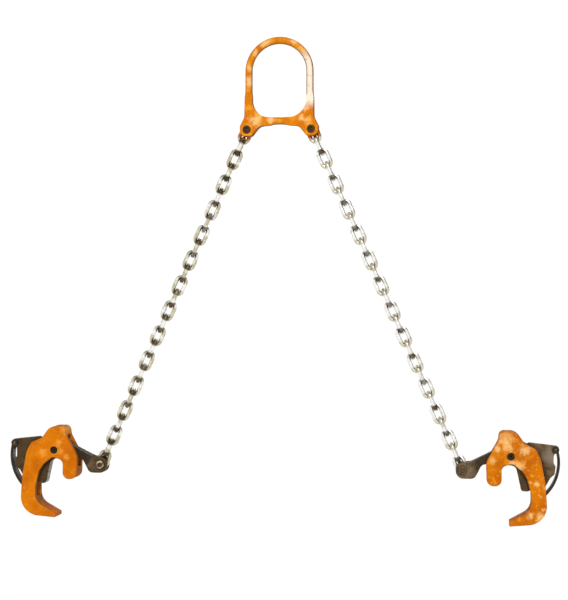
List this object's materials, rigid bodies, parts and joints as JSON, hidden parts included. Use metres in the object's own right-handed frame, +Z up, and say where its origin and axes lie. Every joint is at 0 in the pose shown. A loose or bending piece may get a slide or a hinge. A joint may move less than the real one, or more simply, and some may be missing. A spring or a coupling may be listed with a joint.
{
  "type": "chain drum lifter",
  "caption": "Chain drum lifter: forged master ring with forked ears, two chain legs, and hook-shaped rim clamps with cam levers that bite as the chain pulls.",
  "frame": {"origin": "seat of the crane hook, at the crown of the ring's opening", "axes": "+Z up, out of the hook seat; X across the two legs, +X to the right-hand clamp; -Y is the side with the pin heads"},
  "size_m": [0.7194, 0.031, 0.6282],
  "materials": {
    "ring_paint": "worn orange enamel on a forging",
    "clamp_paint": "orange enamel on rough castings, rubbed at the edges",
    "zinc_chain": "bright zinc plate with pale yellow tint",
    "dark_forging": "dark phosphated forging with brown tint",
    "dark_strip": "dark oiled strip",
    "pin_steel": "plain steel, oiled",
    "spring_steel": "oil-tempered spring wire",
    "bronze": "sintered bronze"
  },
  "bodies": {
    "ring": {"master_ring": "ring_paint", "left_ring_pin": "pin_steel", "right_ring_pin": "pin_steel", "ring_pin_keepers": "pin_steel"},
    "left_chain_01": {"left_chain_links_01_02": "zinc_chain"},
    "left_chain_02": {"left_chain_links_03_04": "zinc_chain"},
    "left_chain_03": {"left_chain_links_05_06": "zinc_chain"},
    "left_chain_04": {"left_chain_links_07_08": "zinc_chain"},
    "left_chain_05": {"left_chain_links_09_10": "zinc_chain"},
    "left_chain_06": {"left_chain_links_11_12": "zinc_chain"},
    "left_chain_07": {"left_chain_links_13_14": "zinc_chain"},
    "left_chain_08": {"left_chain_links_15_16": "zinc_chain"},
    "left_chain_09": {"left_chain_links_17_18": "zinc_chain"},
    "left_chain_10": {"left_chain_links_19_20": "zinc_chain"},
    "left_chain_11": {"left_chain_links_21_22": "zinc_chain"},
    "left_chain_12": {"left_chain_links_23_24": "zinc_chain"},
    "left_chain_13": {"left_chain_links_25_26": "zinc_chain"},
    "left_chain_14": {"left_chain_link_27": "zinc_chain"},
    "left_lever": {"left_cam_lever": "dark_forging", "left_lever_grip": "dark_strip", "left_grip_pin": "pin_steel", "left_chain_pin": "pin_steel", "left_chain_pin_keeper": "pin_steel", "left_pivot_bush": "bronze", "left_closing_spring": "spring_steel"},
    "left_clamp": {"left_front_cheek": "clamp_paint", "left_back_cheek": "clamp_paint", "left_top_bridge": "clamp_paint", "left_jaw_block": "clamp_paint", "left_foot_block": "clamp_paint", "left_pivot_pin": "pin_steel", "left_pivot_washers": "pin_steel"},
    "right_chain_01": {"right_chain_links_01_02": "zinc_chain"},
    "right_chain_02": {"right_chain_links_03_04": "zinc_chain"},
    "right_chain_03": {"right_chain_links_05_06": "zinc_chain"},
    "right_chain_04": {"right_chain_links_07_08": "zinc_chain"},
    "right_chain_05": {"right_chain_links_09_10": "zinc_chain"},
    "right_chain_06": {"right_chain_links_11_12": "zinc_chain"},
    "right_chain_07": {"right_chain_links_13_14": "zinc_chain"},
    "right_chain_08": {"right_chain_links_15_16": "zinc_chain"},
    "right_chain_09": {"right_chain_links_17_18": "zinc_chain"},
    "right_chain_10": {"right_chain_links_19_20": "zinc_chain"},
    "right_chain_11": {"right_chain_links_21_22": "zinc_chain"},
    "right_chain_12": {"right_chain_links_23_24": "zinc_chain"},
    "right_chain_13": {"right_chain_links_25_26": "zinc_chain"},
    "right_chain_14": {"right_chain_link_27": "zinc_chain"},
    "right_lever": {"right_cam_lever": "dark_forging", "right_lever_grip": "dark_strip", "right_grip_pin": "pin_steel", "right_chain_pin": "pin_steel", "right_chain_pin_keeper": "pin_steel", "right_pivot_bush": "bronze", "right_closing_spring": "spring_steel"},
    "right_clamp": {"right_front_cheek": "clamp_paint", "right_back_cheek": "clamp_paint", "right_top_bridge": "clamp_paint", "right_jaw_block": "clamp_paint", "right_foot_block": "clamp_paint", "right_pivot_pin": "pin_steel", "right_pivot_washers": "pin_steel"}
  },
  "joints": [
    {"name": "left_leg_swing", "type": "hinge", "parent": "ring", "child": "left_chain_01", "pos_m": [-0.042, 0, -0.111], "axis": [0, 1, 0], "range_deg": [-18, 36]},
    {"name": "left_chain_bend_01", "type": "hinge", "parent": "left_chain_01", "child": "left_chain_02", "pos_m": [-0.0564, 0, -0.14334], "axis": [0, 1, 0], "range_deg": [0, 7]},
    {"name": "left_chain_bend_02", "type": "hinge", "parent": "left_chain_02", "child": "left_chain_03", "pos_m": [-0.07104, 0, -0.17623], "axis": [0, 1, 0], "range_deg": [0, 7]},
    {"name": "left_chain_bend_03", "type": "hinge", "parent": "left_chain_03", "child": "left_chain_04", "pos_m": [-0.08568, 0, -0.20912], "axis": [0, 1, 0], "range_deg": [0, 7]},
    {"name": "left_chain_bend_04", "type": "hinge", "parent": "left_chain_04", "child": "left_chain_05", "pos_m": [-0.10032, 0, -0.242], "axis": [0, 1, 0], "range_deg": [0, 7]},
    {"name": "left_chain_bend_05", "type": "hinge", "parent": "left_chain_05", "child": "left_chain_06", "pos_m": [-0.11496, 0, -0.27489], "axis": [0, 1, 0], "range_deg": [0, 7]},
    {"name": "left_chain_bend_06", "type": "hinge", "parent": "left_chain_06", "child": "left_chain_07", "pos_m": [-0.12961, 0, -0.30778], "axis": [0, 1, 0], "range_deg": [0, 7]},
    {"name": "left_chain_bend_07", "type": "hinge", "parent": "left_chain_07", "child": "left_chain_08", "pos_m": [-0.14425, 0, -0.34067], "axis": [0, 1, 0], "range_deg": [0, 7]},
    {"name": "left_chain_bend_08", "type": "hinge", "parent": "left_chain_08", "child": "left_chain_09", "pos_m": [-0.15889, 0, -0.37356], "axis": [0, 1, 0], "range_deg": [0, 7]},
    {"name": "left_chain_bend_09", "type": "hinge", "parent": "left_chain_09", "child": "left_chain_10", "pos_m": [-0.17353, 0, -0.40644], "axis": [0, 1, 0], "range_deg": [0, 7]},
    {"name": "left_chain_bend_10", "type": "hinge", "parent": "left_chain_10", "child": "left_chain_11", "pos_m": [-0.18817, 0, -0.43933], "axis": [0, 1, 0], "range_deg": [0, 7]},
    {"name": "left_chain_bend_11", "type": "hinge", "parent": "left_chain_11", "child": "left_chain_12", "pos_m": [-0.20282, 0, -0.47222], "axis": [0, 1, 0], "range_deg": [0, 7]},
    {"name": "left_chain_bend_12", "type": "hinge", "parent": "left_chain_12", "child": "left_chain_13", "pos_m": [-0.21746, 0, -0.50511], "axis": [0, 1, 0], "range_deg": [0, 7]},
    {"name": "left_chain_bend_13", "type": "hinge", "parent": "left_chain_13", "child": "left_chain_14", "pos_m": [-0.2321, 0, -0.538], "axis": [0, 1, 0], "range_deg": [0, 7]},
    {"name": "left_lever_swing", "type": "hinge", "parent": "left_chain_14", "child": "left_lever", "pos_m": [-0.237, 0, -0.549], "axis": [0, -1, 0], "range_deg": [-20, 65]},
    {"name": "left_jaw", "type": "hinge", "parent": "left_lever", "child": "left_clamp", "pos_m": [-0.298, 0, -0.53], "axis": [0, -1, 0], "range_deg": [-17.5, 13], "stiffness_Nm_per_rad": 0.33, "springref_deg": -61.88},
    {"name": "right_leg_swing", "type": "hinge", "parent": "ring", "child": "right_chain_01", "pos_m": [0.042, 0, -0.111], "axis": [0, -1, 0], "range_deg": [-18, 36]},
    {"name": "right_chain_bend_01", "type": "hinge", "parent": "right_chain_01", "child": "right_chain_02", "pos_m": [0.0564, 0, -0.14334], "axis": [0, -1, 0], "range_deg": [0, 7]},
    {"name": "right_chain_bend_02", "type": "hinge", "parent": "right_chain_02", "child": "right_chain_03", "pos_m": [0.07104, 0, -0.17623], "axis": [0, -1, 0], "range_deg": [0, 7]},
    {"name": "right_chain_bend_03", "type": "hinge", "parent": "right_chain_03", "child": "right_chain_04", "pos_m": [0.08568, 0, -0.20912], "axis": [0, -1, 0], "range_deg": [0, 7]},
    {"name": "right_chain_bend_04", "type": "hinge", "parent": "right_chain_04", "child": "right_chain_05", "pos_m": [0.10032, 0, -0.242], "axis": [0, -1, 0], "range_deg": [0, 7]},
    {"name": "right_chain_bend_05", "type": "hinge", "parent": "right_chain_05", "child": "right_chain_06", "pos_m": [0.11496, 0, -0.27489], "axis": [0, -1, 0], "range_deg": [0, 7]},
    {"name": "right_chain_bend_06", "type": "hinge", "parent": "right_chain_06", "child": "right_chain_07", "pos_m": [0.12961, 0, -0.30778], "axis": [0, -1, 0], "range_deg": [0, 7]},
    {"name": "right_chain_bend_07", "type": "hinge", "parent": "right_chain_07", "child": "right_chain_08", "pos_m": [0.14425, 0, -0.34067], "axis": [0, -1, 0], "range_deg": [0, 7]},
    {"name": "right_chain_bend_08", "type": "hinge", "parent": "right_chain_08", "child": "right_chain_09", "pos_m": [0.15889, 0, -0.37356], "axis": [0, -1, 0], "range_deg": [0, 7]},
    {"name": "right_chain_bend_09", "type": "hinge", "parent": "right_chain_09", "child": "right_chain_10", "pos_m": [0.17353, 0, -0.40644], "axis": [0, -1, 0], "range_deg": [0, 7]},
    {"name": "right_chain_bend_10", "type": "hinge", "parent": "right_chain_10", "child": "right_chain_11", "pos_m": [0.18817, 0, -0.43933], "axis": [0, -1, 0], "range_deg": [0, 7]},
    {"name": "right_chain_bend_11", "type": "hinge", "parent": "right_chain_11", "child": "right_chain_12", "pos_m": [0.20282, 0, -0.47222], "axis": [0, -1, 0], "range_deg": [0, 7]},
    {"name": "right_chain_bend_12", "type": "hinge", "parent": "right_chain_12", "child": "right_chain_13", "pos_m": [0.21746, 0, -0.50511], "axis": [0, -1, 0], "range_deg": [0, 7]},
    {"name": "right_chain_bend_13", "type": "hinge", "parent": "right_chain_13", "child": "right_chain_14", "pos_m": [0.2321, 0, -0.538], "axis": [0, -1, 0], "range_deg": [0, 7]},
    {"name": "right_lever_swing", "type": "hinge", "parent": "right_chain_14", "child": "right_lever", "pos_m": [0.237, 0, -0.549], "axis": [0, 1, 0], "range_deg": [-20, 65]},
    {"name": "right_jaw", "type": "hinge", "parent": "right_lever", "child": "right_clamp", "pos_m": [0.298, 0, -0.53], "axis": [0, 1, 0], "range_deg": [-17.5, 13], "stiffness_Nm_per_rad": 0.33, "springref_deg": -61.88}
  ],
  "couplings": [
    {"joint": "left_chain_bend_02", "follows": "left_chain_bend_01", "ratio": 1},
    {"joint": "left_chain_bend_03", "follows": "left_chain_bend_01", "ratio": 1},
    {"joint": "left_chain_bend_04", "follows": "left_chain_bend_01", "ratio": 1},
    {"joint": "left_chain_bend_05", "follows": "left_chain_bend_01", "ratio": 1},
    {"joint": "left_chain_bend_06", "follows": "left_chain_bend_01", "ratio": 1},
    {"joint": "left_chain_bend_07", "follows": "left_chain_bend_01", "ratio": 1},
    {"joint": "left_chain_bend_08", "follows": "left_chain_bend_01", "ratio": 1},
    {"joint": "left_chain_bend_09", "follows": "left_chain_bend_01", "ratio": 1},
    {"joint": "left_chain_bend_10", "follows": "left_chain_bend_01", "ratio": 1},
    {"joint": "left_chain_bend_11", "follows": "left_chain_bend_01", "ratio": 1},
    {"joint": "left_chain_bend_12", "follows": "left_chain_bend_01", "ratio": 1},
    {"joint": "left_chain_bend_13", "follows": "left_chain_bend_01", "ratio": 1},
    {"joint": "right_chain_bend_02", "follows": "right_chain_bend_01", "ratio": 1},
    {"joint": "right_chain_bend_03", "follows": "right_chain_bend_01", "ratio": 1},
    {"joint": "right_chain_bend_04", "follows": "right_chain_bend_01", "ratio": 1},
    {"joint": "right_chain_bend_05", "follows": "right_chain_bend_01", "ratio": 1},
    {"joint": "right_chain_bend_06", "follows": "right_chain_bend_01", "ratio": 1},
    {"joint": "right_chain_bend_07", "follows": "right_chain_bend_01", "ratio": 1},
    {"joint": "right_chain_bend_08", "follows": "right_chain_bend_01", "ratio": 1},
    {"joint": "right_chain_bend_09", "follows": "right_chain_bend_01", "ratio": 1},
    {"joint": "right_chain_bend_10", "follows": "right_chain_bend_01", "ratio": 1},
    {"joint": "right_chain_bend_11", "follows": "right_chain_bend_01", "ratio": 1},
    {"joint": "right_chain_bend_12", "follows": "right_chain_bend_01", "ratio": 1},
    {"joint": "right_chain_bend_13", "follows": "right_chain_bend_01", "ratio": 1}
  ]
}
